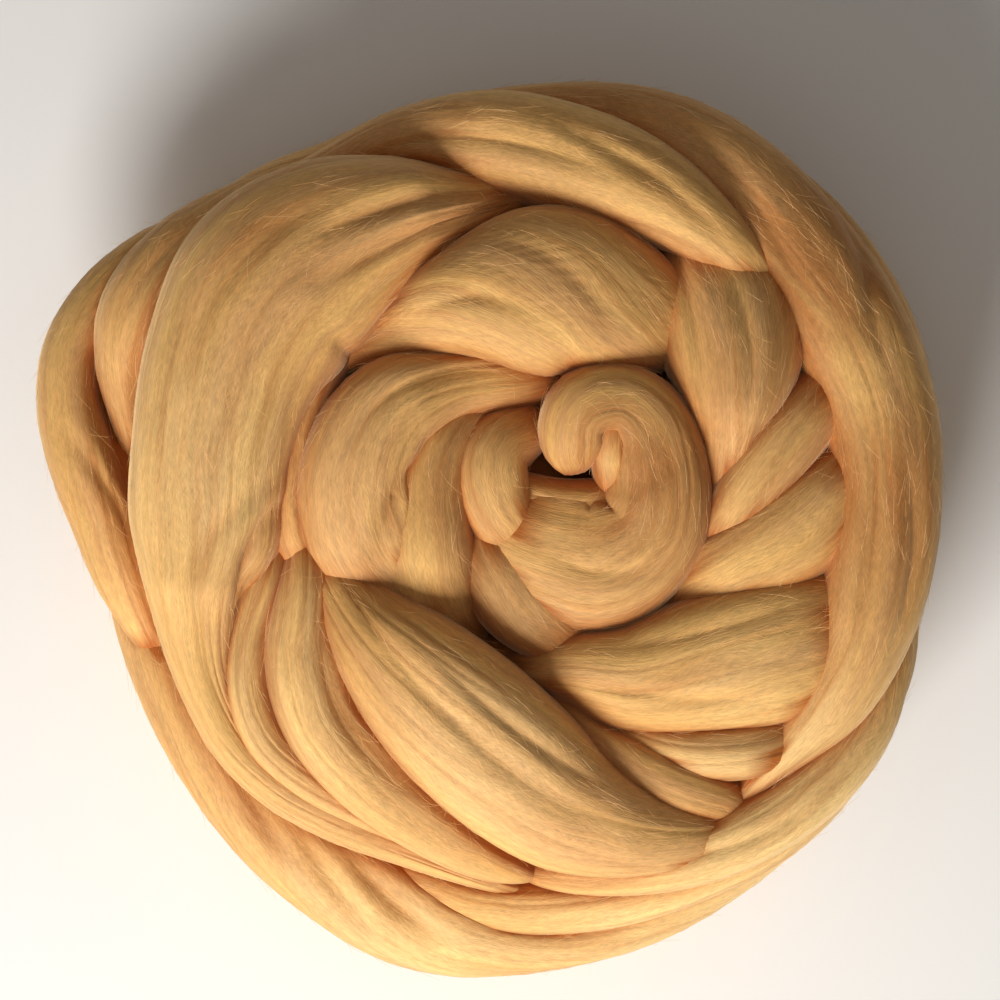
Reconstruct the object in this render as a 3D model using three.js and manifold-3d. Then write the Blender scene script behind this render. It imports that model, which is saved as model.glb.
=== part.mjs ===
// Chunky blanket yarn: one thick, soft, combed rope of wool, wound on itself into a flat round bun.
// Millimetres, +Z up. The origin is in the middle of the flat underside, on the surface it rests on.
// The rope is one length, so the bun is one solid: its folds are swept one by one and joined.

import * as THREE from "three";
import { mergeVertices } from "three/addons/utils/BufferGeometryUtils.js";
import Module from "manifold-3d";

const wasm = await Module();
wasm.setup();

// The bun as a whole
const BUN_MIDDLE_HEIGHT = 30; // the point from which every fold faces outwards
const BUN_FLATTENING = 0.45; // how high the bun is for its width, as the folds lean
const CUT_WIDTH = 400; // the block below the surface that cuts the flat spot
const CUT_DEPTH = 60;

// How finely a fold is made
const SECTION_SIDES = 14;
const RING_STEP = 12.5;
const END_LENGTH = 10; // a fold's end rounds off over this length
const END_CROWDING = 0.65; // 0 spaces the rings evenly, more draws them towards the ends
const SECTION_SQUARENESS = 2.3; // 2 is an ellipse, more is fuller at the corners
const DEPTH_OVER_HALF_WIDTH = 3; // a narrow fold is no deeper than its half width and this

// The rope's lower tiers
const TIER_MIDDLE = { x: 4, y: 4 }; // the tiers lie a little to the back and the right
const TIER_REACH = 97; // from there to the middle of the rope
const TIER_SECTIONS = 7;
const TIER_END_HALF = 0.55; // an arc's ends are narrower by this factor
const TIER_END_TUCK = 10; // and lie this much nearer the middle

const WOOL_COLOUR = 0xd6a566;

// Each fold is a table of sections along the rope: the middle of the section at x, y and height z,
// and half its width. depth is half the fold's thickness, measured out from the bun.
const FOLDS = {
  innerKnobAndRing: {
    depth: 15,
    sections: [
      { x: 23, y: 16, z: 78, half: 8 },
      { x: 22.5, y: 25, z: 82, half: 10.5 },
      { x: 26, y: 34, z: 84.5, half: 12 },
      { x: 35.5, y: 36, z: 83, half: 12.5 },
      { x: 44, y: 29, z: 81, half: 14 },
      { x: 47, y: 14, z: 80, half: 15.5 },
      { x: 43.5, y: 0, z: 78, half: 18 },
      { x: 30, y: -7.5, z: 77, half: 21.5 },
      { x: 15, y: -4, z: 75, half: 18.5 },
      { x: 3, y: 2, z: 67, half: 12 },
      { x: -4, y: 6, z: 58, half: 7 },
    ],
  },
  crescentBesideKnob: {
    depth: 12,
    sections: [
      { x: 15, y: 30, z: 62, half: 6 },
      { x: 7, y: 27, z: 72, half: 8.5 },
      { x: 0.5, y: 21, z: 79, half: 10 },
      { x: 0, y: 11, z: 80, half: 10.5 },
      { x: 4, y: 2, z: 75.5, half: 9.5 },
      { x: 9, y: -4, z: 68, half: 8 },
      { x: 16, y: -9, z: 56, half: 6 },
    ],
  },
  foldUnderRing: {
    depth: 15,
    sections: [
      { x: -4, y: 10, z: 56, half: 7 },
      { x: -1, y: -6, z: 70, half: 11 },
      { x: 7, y: -19, z: 73, half: 13.5 },
      { x: 18, y: -29, z: 68, half: 11 },
      { x: 28, y: -36, z: 54, half: 7 },
    ],
  },
  foldInThePit: {
    depth: 9,
    sections: [
      { x: -2, y: 26, z: 58, half: 5 },
      { x: 8, y: 20, z: 69, half: 8 },
      { x: 20, y: 16, z: 72, half: 8.5 },
      { x: 32, y: 14, z: 72, half: 8 },
      { x: 42, y: 10, z: 60, half: 6 },
    ],
  },
  secondTurnLeftLobe: {
    depth: 18,
    sections: [
      { x: 20, y: 43, z: 54, half: 5 },
      { x: 6, y: 42, z: 68, half: 8 },
      { x: -12, y: 40, z: 75, half: 12 },
      { x: -28, y: 32, z: 78, half: 17 },
      { x: -36.5, y: 15, z: 79, half: 19.5 },
      { x: -36, y: -1, z: 76, half: 18.5 },
      { x: -29, y: -14, z: 67, half: 17 },
      { x: -20, y: -27, z: 48, half: 13 },
    ],
  },
  secondTurnLowerLobe: {
    depth: 15,
    sections: [
      { x: 8, y: 40, z: 56, half: 6 },
      { x: -6, y: 34, z: 70, half: 9 },
      { x: -15, y: 23, z: 76, half: 12 },
      { x: -19, y: 8, z: 78, half: 14 },
      { x: -19, y: -8, z: 77, half: 15 },
      { x: -15, y: -21, z: 66, half: 14 },
      { x: -9, y: -32, z: 52, half: 11 },
    ],
  },
  secondTurnTopLobe: {
    depth: 18,
    sections: [
      { x: -50, y: 46, z: 58, half: 5 },
      { x: -36, y: 52, z: 70, half: 6.5 },
      { x: -22, y: 58, z: 75, half: 10.5 },
      { x: -8, y: 64, z: 79, half: 17 },
      { x: 8, y: 67, z: 81, half: 23.5 },
      { x: 22, y: 67.5, z: 81, half: 24.5 },
      { x: 34, y: 64, z: 78, half: 21.5 },
      { x: 43, y: 60, z: 69, half: 16 },
      { x: 50, y: 57, z: 54, half: 11 },
    ],
  },
  secondTurnRightLobe: {
    depth: 18,
    sections: [
      { x: 42, y: 104, z: 34, half: 10 },
      { x: 51, y: 92, z: 46, half: 14 },
      { x: 60, y: 78, z: 61, half: 18 },
      { x: 67, y: 62, z: 74, half: 21 },
      { x: 68.5, y: 46, z: 79, half: 19 },
      { x: 67, y: 30, z: 77, half: 11.5 },
      { x: 65, y: 14, z: 72, half: 7 },
      { x: 62, y: 2, z: 62, half: 5 },
    ],
  },
  pleatRightUpper: {
    depth: 15,
    sections: [
      { x: 102, y: 48, z: 58, half: 8 },
      { x: 93, y: 36, z: 72, half: 10 },
      { x: 82, y: 23, z: 77, half: 11 },
      { x: 72, y: 10, z: 77, half: 10 },
      { x: 64, y: -2, z: 72, half: 8 },
      { x: 55, y: -12, z: 60, half: 6 },
    ],
  },
  pleatRightLower: {
    depth: 16,
    sections: [
      { x: 108, y: 26, z: 58, half: 9 },
      { x: 97, y: 12, z: 71, half: 13 },
      { x: 85, y: 0, z: 75, half: 15.5 },
      { x: 70, y: -9, z: 74, half: 13.5 },
      { x: 54, y: -17, z: 66, half: 9 },
      { x: 42, y: -22, z: 54, half: 6 },
    ],
  },
  lowerRightLobe: {
    depth: 17,
    sections: [
      { x: 2, y: -38, z: 52, half: 6 },
      { x: 14, y: -39, z: 66, half: 8 },
      { x: 26, y: -40, z: 73, half: 12 },
      { x: 40, y: -41.5, z: 76, half: 16 },
      { x: 58, y: -38.5, z: 77, half: 19.7 },
      { x: 78, y: -34, z: 75, half: 21.5 },
      { x: 95, y: -29, z: 67, half: 19 },
      { x: 108, y: -26, z: 52, half: 13 },
    ],
  },
  pleatsBelowLobe: {
    depth: 14,
    sections: [
      { x: 12, y: -42, z: 62, half: 5 },
      { x: 28, y: -52, z: 70, half: 9 },
      { x: 44, y: -61, z: 73, half: 13 },
      { x: 62, y: -66, z: 73, half: 15 },
      { x: 80, y: -66, z: 68, half: 14 },
      { x: 93, y: -60, z: 58, half: 10 },
    ],
  },
  lowerSpindle: {
    depth: 18,
    sections: [
      { x: -50, y: 4, z: 54, half: 4 },
      { x: -45, y: -11, z: 72, half: 7 },
      { x: -37, y: -24, z: 79, half: 12 },
      { x: -26, y: -37, z: 82, half: 17.5 },
      { x: -12, y: -51, z: 83, half: 21 },
      { x: 5, y: -66, z: 82, half: 21.5 },
      { x: 21, y: -78, z: 79, half: 19 },
      { x: 38, y: -84, z: 76, half: 14.5 },
      { x: 54, y: -86, z: 71, half: 10 },
      { x: 70, y: -84, z: 60, half: 6 },
    ],
  },
  leftSweep: {
    depth: 20,
    sections: [
      { x: 20, y: 98, z: 52, half: 4 },
      { x: 8, y: 94.5, z: 63, half: 6 },
      { x: -8, y: 91, z: 69, half: 11 },
      { x: -28, y: 87, z: 73, half: 20 },
      { x: -46, y: 80, z: 75.5, half: 27 },
      { x: -62, y: 68, z: 77, half: 29.5 },
      { x: -73, y: 48, z: 77.5, half: 26.5 },
      { x: -79, y: 24, z: 78, half: 24 },
      { x: -81, y: 0, z: 76.5, half: 22.5 },
      { x: -83, y: -24, z: 74, half: 13.5 },
      { x: -80, y: -43, z: 72, half: 9.5 },
      { x: -72, y: -60, z: 70, half: 8.5 },
      { x: -60, y: -72, z: 69, half: 8.5 },
      { x: -44, y: -81, z: 68, half: 8.5 },
      { x: -25, y: -89, z: 66, half: 7.5 },
      { x: -5, y: -97, z: 62, half: 6 },
      { x: 12, y: -103, z: 52, half: 3.5 },
    ],
  },
  leftPleats: {
    depth: 15,
    sections: [
      { x: -54, y: 8, z: 64, half: 8 },
      { x: -58, y: -12, z: 75, half: 14.5 },
      { x: -58, y: -32, z: 76.5, half: 17.5 },
      { x: -56, y: -50, z: 76, half: 18.5 },
      { x: -42, y: -68, z: 75, half: 16 },
      { x: -25, y: -80, z: 72.5, half: 13 },
      { x: -8, y: -90, z: 69, half: 10 },
      { x: 6, y: -96, z: 64, half: 7.5 },
      { x: 16, y: -100, z: 56, half: 5 },
    ],
  },
  topBand: {
    depth: 16,
    sections: [
      { x: -80, y: 76, z: 36, half: 8 },
      { x: -62, y: 92, z: 42, half: 8.5 },
      { x: -46, y: 101, z: 50, half: 9 },
      { x: -25, y: 110, z: 60, half: 10.5 },
      { x: 0, y: 111, z: 68, half: 14.5 },
      { x: 22, y: 105, z: 74, half: 16 },
      { x: 42, y: 97, z: 78, half: 14.5 },
      { x: 58, y: 87, z: 80, half: 11 },
      { x: 70, y: 77, z: 79, half: 7.5 },
      { x: 79, y: 66, z: 73, half: 5 },
      { x: 87, y: 52, z: 60, half: 3.5 },
    ],
  },
  rightSweep: {
    depth: 18,
    sections: [
      { x: -84, y: 80, z: 28, half: 10 },
      { x: -64, y: 94, z: 32, half: 10 },
      { x: -42, y: 103, z: 38, half: 10 },
      { x: -20, y: 112, z: 46, half: 10.5 },
      { x: 8, y: 116, z: 53, half: 11.5 },
      { x: 38, y: 113, z: 61, half: 14 },
      { x: 63, y: 102, z: 67, half: 16 },
      { x: 86, y: 81, z: 71, half: 16.5 },
      { x: 102, y: 57, z: 74, half: 17 },
      { x: 110, y: 34, z: 75, half: 17 },
      { x: 112, y: 10, z: 75, half: 16.5 },
      { x: 109, y: -14, z: 74, half: 16 },
      { x: 103, y: -35, z: 73, half: 13.5 },
      { x: 96, y: -49, z: 72, half: 11 },
      { x: 87, y: -60, z: 71, half: 8 },
      { x: 77, y: -70, z: 69, half: 5.5 },
      { x: 67, y: -79, z: 64, half: 4 },
      { x: 57, y: -87, z: 54, half: 3 },
    ],
  },
  rightShoulder: {
    depth: 16,
    sections: [
      { x: 30, y: 108, z: 36, half: 12 },
      { x: 62, y: 102, z: 42, half: 14 },
      { x: 88, y: 84, z: 46, half: 15 },
      { x: 106, y: 58, z: 48, half: 15 },
      { x: 113, y: 28, z: 48, half: 15 },
      { x: 112, y: -2, z: 46, half: 15 },
      { x: 104, y: -32, z: 42, half: 13 },
    ],
  },
  leftLumpUpper: {
    depth: 17,
    sections: [
      { x: -50, y: 97, z: 32, half: 8 },
      { x: -72, y: 88, z: 42, half: 11 },
      { x: -90, y: 75, z: 50, half: 13 },
      { x: -100, y: 60, z: 53, half: 13.5 },
      { x: -104, y: 45, z: 52, half: 9.5 },
      { x: -103, y: 31, z: 50, half: 6 },
      { x: -99, y: 17, z: 42, half: 4 },
    ],
  },
  leftLumpLower: {
    depth: 16,
    sections: [
      { x: -84, y: 84, z: 30, half: 6 },
      { x: -98, y: 77, z: 38, half: 8 },
      { x: -111, y: 65, z: 43, half: 9.5 },
      { x: -118.5, y: 50, z: 46, half: 11 },
      { x: -119, y: 35, z: 48, half: 12 },
      { x: -115, y: 18, z: 50, half: 12.5 },
      { x: -110, y: 3, z: 50, half: 11.5 },
      { x: -105, y: -12, z: 50, half: 10 },
      { x: -99, y: -25, z: 47, half: 8 },
      { x: -91, y: -38, z: 40, half: 6 },
    ],
  },
  bottomBand: {
    depth: 18,
    sections: [
      { x: -104, y: -4, z: 32, half: 8 },
      { x: -98, y: -30, z: 40, half: 9.5 },
      { x: -86, y: -55, z: 44, half: 11.5 },
      { x: -69, y: -77, z: 46, half: 14 },
      { x: -48, y: -95, z: 46, half: 16.5 },
      { x: -22, y: -110, z: 45, half: 17 },
      { x: 6, y: -115, z: 44, half: 13 },
      { x: 34, y: -111, z: 44, half: 11 },
      { x: 60, y: -100, z: 44, half: 10 },
      { x: 82, y: -84, z: 42, half: 9.5 },
      { x: 100, y: -62, z: 38, half: 8 },
    ],
  },
  bottomRightBand: {
    depth: 16,
    sections: [
      { x: -40, y: -88, z: 44, half: 8 },
      { x: -22, y: -99, z: 50, half: 9.5 },
      { x: 4, y: -105, z: 54, half: 10 },
      { x: 26, y: -103, z: 58, half: 11 },
      { x: 46, y: -98, z: 62, half: 12 },
      { x: 64, y: -92, z: 64, half: 13 },
      { x: 80, y: -83, z: 63, half: 13.5 },
      { x: 96, y: -69, z: 61, half: 13 },
      { x: 107, y: -54, z: 58, half: 12.5 },
      { x: 113, y: -36, z: 53, half: 11 },
      { x: 114, y: -14, z: 45, half: 9 },
    ],
  },
};

// The tiers under those folds are arcs of the rope round the bun. An arc starts at an angle in
// degrees from +X, sweeps on anticlockwise, and its height goes from low to high along it.
const TIER_ARCS = {
  floorFront: { start: 215, sweep: 150, low: 20, high: 22, half: 22, depth: 21 },
  floorRight: { start: 335, sweep: 160, low: 20, high: 23, half: 22, depth: 21 },
  floorBack: { start: 100, sweep: 145, low: 20, high: 22, half: 22, depth: 21 },
  middleRight: { start: 290, sweep: 150, low: 36, high: 46, half: 18, depth: 17 },
  middleBack: { start: 60, sweep: 130, low: 34, high: 44, half: 19, depth: 18 },
  middleLeft: { start: 165, sweep: 150, low: 36, high: 42, half: 18, depth: 17 },
};

// The turns inside are pressed together, so they are one lump: radius and height up its side.
const INNER_LUMP = [
  { radius: 0, z: -10 },
  { radius: 92, z: -10 },
  { radius: 103, z: 20 },
  { radius: 103, z: 44 },
  { radius: 91, z: 64 },
  { radius: 60, z: 70 },
  { radius: 0, z: 70 },
];
const INNER_LUMP_SIDES = 36;

function toSolid(geometry) {
  const bare = geometry.clone();
  bare.deleteAttribute("normal");
  bare.deleteAttribute("uv");
  const merged = mergeVertices(bare, 0.001);
  return new wasm.Manifold(
    new wasm.Mesh({
      numProp: 3,
      vertProperties: new Float32Array(merged.attributes.position.array),
      triVerts: new Uint32Array(merged.index.array),
    }),
  );
}

// Folds that cross can close round a small pocket of air, which real wool fills. A pocket's walls
// share no corner with the outer skin, so the triangles are grouped by the corners they share,
// and only the largest group is kept.
function outerSkin({ triVerts, numVert }) {
  const leader = Uint32Array.from({ length: numVert }, (_, i) => i);
  const groupOf = (corner) => {
    let group = corner;
    while (leader[group] !== group) {
      group = leader[group];
    }
    leader[corner] = group;
    return group;
  };
  const sizes = new Map();
  for (let i = 0; i < triVerts.length; i += 3) {
    leader[groupOf(triVerts[i + 1])] = groupOf(triVerts[i]);
    leader[groupOf(triVerts[i + 2])] = groupOf(triVerts[i]);
  }
  for (let i = 0; i < triVerts.length; i += 3) {
    const group = groupOf(triVerts[i]);
    sizes.set(group, (sizes.get(group) ?? 0) + 1);
  }
  const [skin] = [...sizes].sort((one, other) => other[1] - one[1])[0];
  return triVerts.filter((_, i) => groupOf(triVerts[i - (i % 3)]) === skin);
}

function toGeometry(solid) {
  const mesh = solid.getMesh();
  const geometry = new THREE.BufferGeometry();
  geometry.setAttribute("position", new THREE.BufferAttribute(mesh.vertProperties, 3));
  geometry.setIndex(new THREE.BufferAttribute(outerSkin(mesh), 1));
  geometry.computeVertexNormals();
  return geometry;
}

// The direction that faces out of the bun at a point.
function outwards(point) {
  const rise = (point.z - BUN_MIDDLE_HEIGHT) / BUN_FLATTENING;
  return new THREE.Vector3(point.x * BUN_FLATTENING, point.y * BUN_FLATTENING, rise).normalize();
}

// Moves the rings of a fold towards its two ends, where its shape changes most.
function crowdEnds(part) {
  const crowded = (1 - Math.cos(Math.PI * part)) / 2;
  return THREE.MathUtils.lerp(part, crowded, END_CROWDING);
}

// A closed sphere is stretched along the fold's path: its poles become the fold's two ends.
function sweepFold({ depth, sections }) {
  const points = sections.map(({ x, y, z }) => new THREE.Vector3(x, y, z));
  const path = new THREE.CatmullRomCurve3(points, false, "centripetal");
  const length = path.getLength();
  const rings = Math.max(6, Math.round(length / RING_STEP));
  const geometry = new THREE.SphereGeometry(1, SECTION_SIDES, rings);
  const position = geometry.attributes.position;
  const round = (value) => Math.sign(value) * Math.abs(value) ** (2 / SECTION_SQUARENESS);
  for (let i = 0; i < position.count; i += 1) {
    const fromPole = Math.acos(THREE.MathUtils.clamp(position.getY(i), -1, 1));
    const along = crowdEnds(1 - fromPole / Math.PI);
    const turn = Math.atan2(position.getZ(i), position.getX(i));
    const place = path.getPointAt(along);
    const tangent = path.getTangentAt(along);
    const out = outwards(place);
    out.addScaledVector(tangent, -out.dot(tangent)).normalize();
    const side = new THREE.Vector3().crossVectors(tangent, out);
    const row = path.getUtoTmapping(along) * (sections.length - 1);
    const first = Math.min(Math.floor(row), sections.length - 2);
    const half = THREE.MathUtils.lerp(sections[first].half, sections[first + 1].half, row - first);
    const toEnd = Math.min(along, 1 - along) * length;
    const closing = Math.sqrt(1 - (1 - Math.min(1, toEnd / END_LENGTH)) ** 2);
    const thick = Math.min(depth, half + DEPTH_OVER_HALF_WIDTH);
    place.addScaledVector(side, half * closing * round(Math.cos(turn)));
    place.addScaledVector(out, thick * closing * round(Math.sin(turn)));
    position.setXYZ(i, place.x, place.y, place.z);
  }
  return geometry;
}

function tierSections({ start, sweep, low, high, half }) {
  return Array.from({ length: TIER_SECTIONS }, (_, i) => {
    const part = i / (TIER_SECTIONS - 1);
    const angle = THREE.MathUtils.degToRad(start + sweep * part);
    const fullness = Math.sqrt(Math.sin(Math.PI * part));
    const reach = TIER_REACH - TIER_END_TUCK * (1 - fullness);
    return {
      x: TIER_MIDDLE.x + reach * Math.cos(angle),
      y: TIER_MIDDLE.y + reach * Math.sin(angle),
      z: THREE.MathUtils.lerp(low, high, part),
      half: half * THREE.MathUtils.lerp(TIER_END_HALF, 1, fullness),
    };
  });
}

function innerLump() {
  const profile = INNER_LUMP.map(({ radius, z }) => new THREE.Vector2(radius, z));
  return new THREE.LatheGeometry(profile, INNER_LUMP_SIDES).rotateX(Math.PI / 2);
}

function belowTheSurface() {
  return new THREE.BoxGeometry(CUT_WIDTH, CUT_WIDTH, CUT_DEPTH).translate(0, 0, -CUT_DEPTH / 2);
}

const tiers = Object.values(TIER_ARCS).map((arc) => ({ depth: arc.depth, sections: tierSections(arc) }));
const folds = [...Object.values(FOLDS), ...tiers].map(sweepFold);
const wound = folds.reduce((bun, fold) => bun.add(toSolid(fold)), toSolid(innerLump()));
const resting = wound.subtract(toSolid(belowTheSurface()));

const wool = new THREE.MeshStandardMaterial({ color: WOOL_COLOUR, roughness: 0.95, metalness: 0 });
const rope = new THREE.Mesh(toGeometry(resting), wool);
rope.name = "wound_roving";

const bun = new THREE.Group();
bun.add(rope);

export default bun;
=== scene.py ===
# %% [markdown]
# # A bun of combed wool roving
#
# Roving is wool that has been washed and combed but not spun. It is a soft rope as thick as a wrist,
# its fibres lie side by side along it, and it is sold for hand-knitted blankets. This lesson builds
# one length of it, wound on itself into a flat round bun with a small rolled knob in its middle.
#
# The bun is built as the real one is: fold after fold of one rope, each with its own path, its own
# width and its own lean. Then come the furrows that combing leaves, the creases where the wool is
# pinched, the finish of the fibres and at last the loose hairs.
#
# The frame is loaded first. It holds the bun as one plain solid of the right size, which carries the
# weight and the collisions. What this file makes takes the place of that solid in the picture.

# %% The fixed frame
import math
from collections import namedtuple

import bmesh
import bpy
import numpy as np
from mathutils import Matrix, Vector
from mathutils.bvhtree import BVHTree


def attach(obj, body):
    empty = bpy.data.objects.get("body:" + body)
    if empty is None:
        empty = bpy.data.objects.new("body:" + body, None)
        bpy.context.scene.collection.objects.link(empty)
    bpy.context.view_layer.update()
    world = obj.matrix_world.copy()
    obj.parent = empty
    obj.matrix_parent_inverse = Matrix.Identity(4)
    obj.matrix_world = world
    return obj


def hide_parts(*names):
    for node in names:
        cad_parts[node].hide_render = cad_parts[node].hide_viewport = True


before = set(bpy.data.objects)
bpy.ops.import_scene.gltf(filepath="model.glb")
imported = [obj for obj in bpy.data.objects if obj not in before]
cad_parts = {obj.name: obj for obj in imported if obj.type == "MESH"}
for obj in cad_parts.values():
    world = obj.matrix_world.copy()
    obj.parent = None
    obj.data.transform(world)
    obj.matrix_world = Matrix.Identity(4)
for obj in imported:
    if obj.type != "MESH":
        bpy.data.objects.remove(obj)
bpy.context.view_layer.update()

MM = 0.001

# %% [markdown]
# ## Camera
#
# The bun was looked at from straight above, from so far away that its sides don't show. A long lens
# does that. The picture is as wide as 290 mm at half the height of the bun, and the distance follows
# from the lens.

# %% Camera
LENS = 200
SENSOR = 36
PICTURE_WIDTH = 0.290
LOOK_AT = Vector((0.0023, 0.0084, 0.050))

camera_data = bpy.data.cameras.new("camera")
camera_data.lens = LENS
camera_data.sensor_width = SENSOR
camera = bpy.data.objects.new("camera", camera_data)
camera.location = LOOK_AT + Vector((0, 0, PICTURE_WIDTH * LENS / SENSOR))
bpy.context.scene.collection.objects.link(camera)
bpy.context.scene.camera = camera
print("the camera is", round(camera.location.z, 3), "m above the floor")

# %% [markdown]
# ## Floor and light
#
# Wool shows its folds best when one soft light comes in low from one side. Here it comes from the
# bottom edge of the picture and a little from the left, so the near rim is bright and the far rim
# falls into shade. A second, wide and weak light from above and a dim sky keep the creases on the far
# side from going black. The floor is pale and plain, and throws a little light back up on the rim.

# %% Floor and light
SKY_COLOUR = (1.0, 0.90, 0.78, 1)
SKY_STRENGTH = 0.15
FLOOR_SIZE = 6.0

bpy.context.scene.view_settings.view_transform = "Standard"


def area_light(name, place, size, power, colour):
    """Adds a square lamp at a place, turned towards the bun."""
    lamp = bpy.data.lights.new(name, "AREA")
    lamp.size = size
    lamp.energy = power
    lamp.color = colour
    lamp_object = bpy.data.objects.new(name, lamp)
    lamp_object.location = place
    lamp_object.rotation_euler = (LOOK_AT - Vector(place)).to_track_quat("-Z", "Y").to_euler()
    bpy.context.scene.collection.objects.link(lamp_object)


area_light("low_front_light", place=(-0.46, -1.04, 0.80), size=0.60, power=24, colour=(1.0, 0.98, 0.95))
area_light("wide_top_light", place=(0.0, 0.0, 1.6), size=1.4, power=2.5, colour=(1.0, 0.99, 0.97))

world = bpy.data.worlds.new("dim_sky")
world.use_nodes = True
sky = world.node_tree.nodes["Background"]
sky.inputs["Color"].default_value = SKY_COLOUR
sky.inputs["Strength"].default_value = SKY_STRENGTH
bpy.context.scene.world = world

floor_mesh = bpy.data.meshes.new("floor")
floor_bm = bmesh.new()
bmesh.ops.create_grid(floor_bm, x_segments=1, y_segments=1, size=FLOOR_SIZE / 2)
floor_bm.to_mesh(floor_mesh)
floor_bm.free()
floor = bpy.data.objects.new("floor", floor_mesh)
bpy.context.scene.collection.objects.link(floor)
print("lights:", [o.name for o in bpy.data.objects if o.type == "LIGHT"])

# %% [markdown]
# ## The folds
#
# Seen from above, the rope is not an even spiral. It swells into lobes where it lies loose, narrows
# to pleats where it is pinched, and dives under its neighbours. So each stretch that shows is a row
# of sections, listed one by one from measurements of the bun: where the middle of the rope is, how
# high it lies, and half its width. A fold starts and ends inside the bun, out of sight.
#
# `depth` is half the thickness, measured out from the bun. `turn` is how far the fibres twist round
# the rope from one end of the fold to the other, in degrees. All lengths are in millimetres.

# %% The folds that show from above
Fold = namedtuple("Fold", "depth turn sections")

CENTRE_FOLDS = {
    "inner_knob_and_ring": Fold(15, 40, [
        (23, 16, 78, 8), (22.5, 25, 82, 10.5), (26, 34, 84.5, 12), (35.5, 36, 83, 12.5),
        (44, 29, 81, 14), (47, 14, 80, 15.5), (43.5, 0, 78, 18), (30, -7.5, 77, 21.5), (15, -4, 75, 18.5),
        (3, 2, 67, 12), (-4, 6, 58, 7)]),
    "crescent_beside_knob": Fold(12, 30, [
        (15, 30, 62, 6), (7, 27, 72, 8.5), (0.5, 21, 79, 10), (0, 11, 80, 10.5), (4, 2, 75.5, 9.5),
        (9, -4, 68, 8), (16, -9, 56, 6)]),
    "fold_under_ring": Fold(15, 0, [
        (-4, 10, 56, 7), (-1, -6, 70, 11), (7, -19, 73, 13.5), (18, -29, 68, 11), (28, -36, 54, 7)]),
    "fold_in_the_pit": Fold(12, 0, [
        (-2, 13, 62, 5), (8, 9.5, 72, 7), (19, 6.5, 75.5, 8), (29, 6.5, 76.5, 8), (38, 9, 74, 7),
        (45, 15, 62, 5)]),
    "fold_in_the_knob": Fold(9, 0, [
        (39, 38, 72, 5), (35, 31, 85, 6.5), (34, 22, 84, 6.5), (34.5, 15, 79, 6.5), (36, 6, 66, 6)]),
    "fold_behind_the_lobe": Fold(11, 0, [
        (-36, 58, 62, 5), (-47, 47, 72, 7), (-54.5, 32, 75, 8), (-56.5, 15, 75, 8), (-55.5, -2, 73, 8),
        (-48, -14, 62, 6)]),
}
SECOND_TURN = {
    "second_turn_left_lobe": Fold(18, 40, [
        (22, 44, 60, 6), (7, 42, 72, 9), (-12, 40, 76, 12), (-28, 32, 78, 17), (-36.5, 15, 79, 19.5),
        (-36, -1, 76, 18.5), (-29, -14, 67, 17), (-20, -27, 48, 13)]),
    "second_turn_lower_lobe": Fold(15, 30, [
        (8, 40, 56, 6), (-6, 34, 70, 9), (-15, 23, 76, 12), (-19, 8, 78, 14), (-19, -8, 77, 15),
        (-15, -21, 66, 14), (-9, -32, 52, 11)]),
    "second_turn_top_lobe": Fold(18, -230, [
        (-50, 46, 58, 5), (-36, 52, 70, 6.5), (-22, 58, 75, 10.5), (-8, 64, 79, 17), (8, 67, 81, 23.5),
        (22, 67.5, 81, 24.5), (34, 64, 78, 21.5), (43, 60, 69, 16), (50, 57, 54, 11)]),
    "second_turn_right_lobe": Fold(18, 30, [
        (42, 104, 34, 10), (51, 92, 46, 14), (60, 78, 61, 18), (67, 62, 74, 21), (68.5, 46, 79, 19),
        (67, 30, 77, 11.5), (65, 14, 72, 7), (62, 2, 62, 5)]),
    "pleat_right_upper": Fold(15, 0, [
        (102, 48, 58, 8), (93, 36, 72, 10), (82, 23, 77, 11), (72, 10, 77, 10), (64, -2, 72, 8),
        (55, -12, 60, 6)]),
    "pleat_right_lower": Fold(16, 0, [
        (108, 26, 58, 9), (97, 12, 71, 13), (85, 0, 75, 15.5), (70, -9, 74, 13.5), (54, -17, 66, 9),
        (42, -22, 54, 6)]),
    "lower_right_lobe": Fold(17, 30, [
        (2, -38, 52, 6), (14, -39, 66, 8), (26, -40, 73, 12), (40, -41.5, 76, 16), (58, -38.5, 77, 19.7),
        (78, -34, 75, 21.5), (95, -29, 67, 19), (108, -26, 52, 13)]),
    "pleat_below_lobe": Fold(15, 0, [
        (20, -46, 56, 4), (34, -56, 70, 5), (48, -61.5, 74, 7.5), (62, -63, 75, 8.5), (76, -61, 71, 9),
        (92, -54, 56, 8)]),
    "pleat_by_spindle": Fold(15, 0, [
        (4, -36, 56, 4), (18, -50, 70, 5.5), (33, -62, 75, 7), (48, -71, 76, 9), (62, -76, 70, 8.5),
        (74, -80, 54, 6)]),
}
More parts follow.
